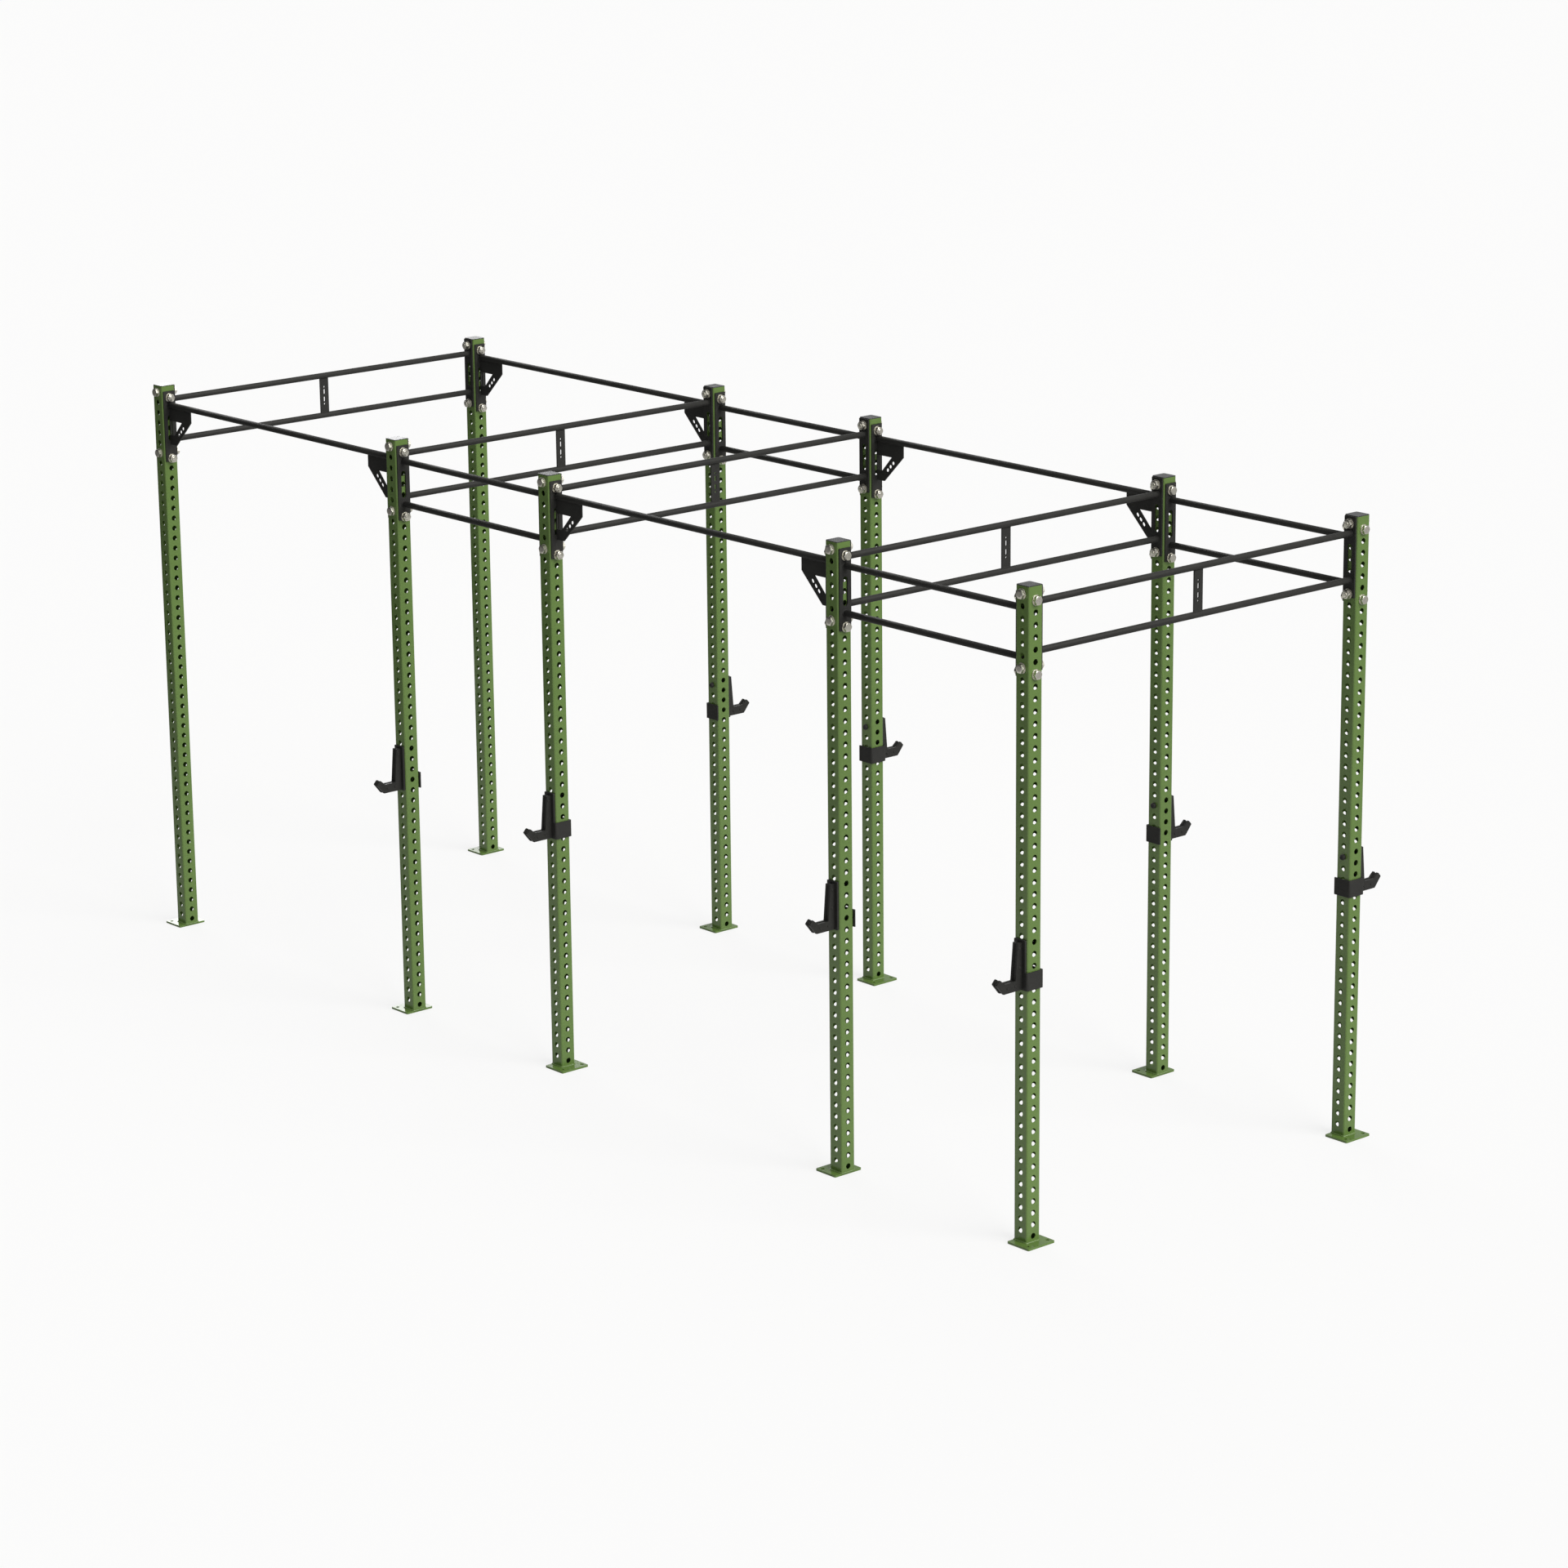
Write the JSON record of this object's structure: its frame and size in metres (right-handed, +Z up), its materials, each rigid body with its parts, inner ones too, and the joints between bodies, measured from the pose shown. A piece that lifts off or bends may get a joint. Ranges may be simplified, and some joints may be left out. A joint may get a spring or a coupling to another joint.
{
  "type": "free-standing training rig",
  "caption": "Free-standing training rig: punched square uprights tied by ladder crossmembers and pull-up bars, with pinned J-cups that hold a barbell.",
  "frame": {"origin": "on the floor, midway between the four corner uprights", "axes": "+X along the rows towards upright pair 5, +Y from the front row to the back row, +Z up"},
  "size_m": [6.331, 2.308, 2.7877],
  "materials": {
    "green_powder_coat": "metallic green powder coat, semi-gloss",
    "black_powder_coat": "fine-textured satin black powder coat",
    "black_plastic": "matt black machined polyethylene",
    "cap_plastic": "smooth black moulded plastic",
    "zinc_hardware": "bright zinc-plated steel"
  },
  "bodies": {
    "rig": {"upright_front_1": "green_powder_coat", "upright_front_2": "green_powder_coat", "upright_front_3": "green_powder_coat", "upright_front_4": "green_powder_coat", "upright_front_5": "green_powder_coat", "upright_back_1": "green_powder_coat", "upright_back_2": "green_powder_coat", "upright_back_3": "green_powder_coat", "upright_back_4": "green_powder_coat", "upright_back_5": "green_powder_coat", "top_caps": "cap_plastic", "crossmember_1": "black_powder_coat", "crossmember_2": "black_powder_coat", "crossmember_3": "black_powder_coat", "crossmember_4": "black_powder_coat", "crossmember_5": "black_powder_coat", "pull_up_bar_front_bay1": "black_powder_coat", "pull_up_bar_back_bay1": "black_powder_coat", "double_bar_front_bay2": "black_powder_coat", "double_bar_back_bay2": "black_powder_coat", "pull_up_bar_front_bay3": "black_powder_coat", "pull_up_bar_back_bay3": "black_powder_coat", "double_bar_front_bay4": "black_powder_coat", "double_bar_back_bay4": "black_powder_coat", "hex_bolts": "zinc_hardware", "hex_nuts": "zinc_hardware", "flat_washers": "zinc_hardware"},
    "jcup_front_2": {"jcup_bracket_front_2": "black_powder_coat", "jcup_liner_front_2": "black_plastic", "jcup_cheeks_front_2": "black_plastic", "jcup_studs_front_2": "black_powder_coat"},
    "jcup_front_3": {"jcup_bracket_front_3": "black_powder_coat", "jcup_liner_front_3": "black_plastic", "jcup_cheeks_front_3": "black_plastic", "jcup_studs_front_3": "black_powder_coat"},
    "jcup_front_4": {"jcup_bracket_front_4": "black_powder_coat", "jcup_liner_front_4": "black_plastic", "jcup_cheeks_front_4": "black_plastic", "jcup_studs_front_4": "black_powder_coat"},
    "jcup_front_5": {"jcup_bracket_front_5": "black_powder_coat", "jcup_liner_front_5": "black_plastic", "jcup_cheeks_front_5": "black_plastic", "jcup_studs_front_5": "black_powder_coat"},
    "jcup_back_2": {"jcup_bracket_back_2": "black_powder_coat", "jcup_liner_back_2": "black_plastic", "jcup_cheeks_back_2": "black_plastic", "jcup_studs_back_2": "black_powder_coat"},
    "jcup_back_3": {"jcup_bracket_back_3": "black_powder_coat", "jcup_liner_back_3": "black_plastic", "jcup_cheeks_back_3": "black_plastic", "jcup_studs_back_3": "black_powder_coat"},
    "jcup_back_4": {"jcup_bracket_back_4": "black_powder_coat", "jcup_liner_back_4": "black_plastic", "jcup_cheeks_back_4": "black_plastic", "jcup_studs_back_4": "black_powder_coat"},
    "jcup_back_5": {"jcup_bracket_back_5": "black_powder_coat", "jcup_liner_back_5": "black_plastic", "jcup_cheeks_back_5": "black_plastic", "jcup_studs_back_5": "black_powder_coat"}
  },
  "joints": [
    {"name": "jcup_front_2_swing", "type": "hinge", "parent": "rig", "child": "jcup_front_2", "pos_m": [-1.143, -0.9668, 1.27953], "axis": [0, 1, 0], "range_deg": [0, 130]},
    {"name": "jcup_front_3_swing", "type": "hinge", "parent": "rig", "child": "jcup_front_3", "pos_m": [0, -0.9668, 1.27953], "axis": [0, -1, 0], "range_deg": [0, 130]},
    {"name": "jcup_front_4_swing", "type": "hinge", "parent": "rig", "child": "jcup_front_4", "pos_m": [1.9336, -0.9668, 1.27953], "axis": [0, 1, 0], "range_deg": [0, 130]},
    {"name": "jcup_front_5_swing", "type": "hinge", "parent": "rig", "child": "jcup_front_5", "pos_m": [3.0766, -0.9668, 1.27953], "axis": [0, -1, 0], "range_deg": [0, 130]},
    {"name": "jcup_back_2_swing", "type": "hinge", "parent": "rig", "child": "jcup_back_2", "pos_m": [-1.143, 0.9668, 1.27953], "axis": [0, 1, 0], "range_deg": [0, 130]},
    {"name": "jcup_back_3_swing", "type": "hinge", "parent": "rig", "child": "jcup_back_3", "pos_m": [0, 0.9668, 1.27953], "axis": [0, -1, 0], "range_deg": [0, 130]},
    {"name": "jcup_back_4_swing", "type": "hinge", "parent": "rig", "child": "jcup_back_4", "pos_m": [1.9336, 0.9668, 1.27953], "axis": [0, 1, 0], "range_deg": [0, 130]},
    {"name": "jcup_back_5_swing", "type": "hinge", "parent": "rig", "child": "jcup_back_5", "pos_m": [3.0766, 0.9668, 1.27953], "axis": [0, -1, 0], "range_deg": [0, 130]}
  ]
}
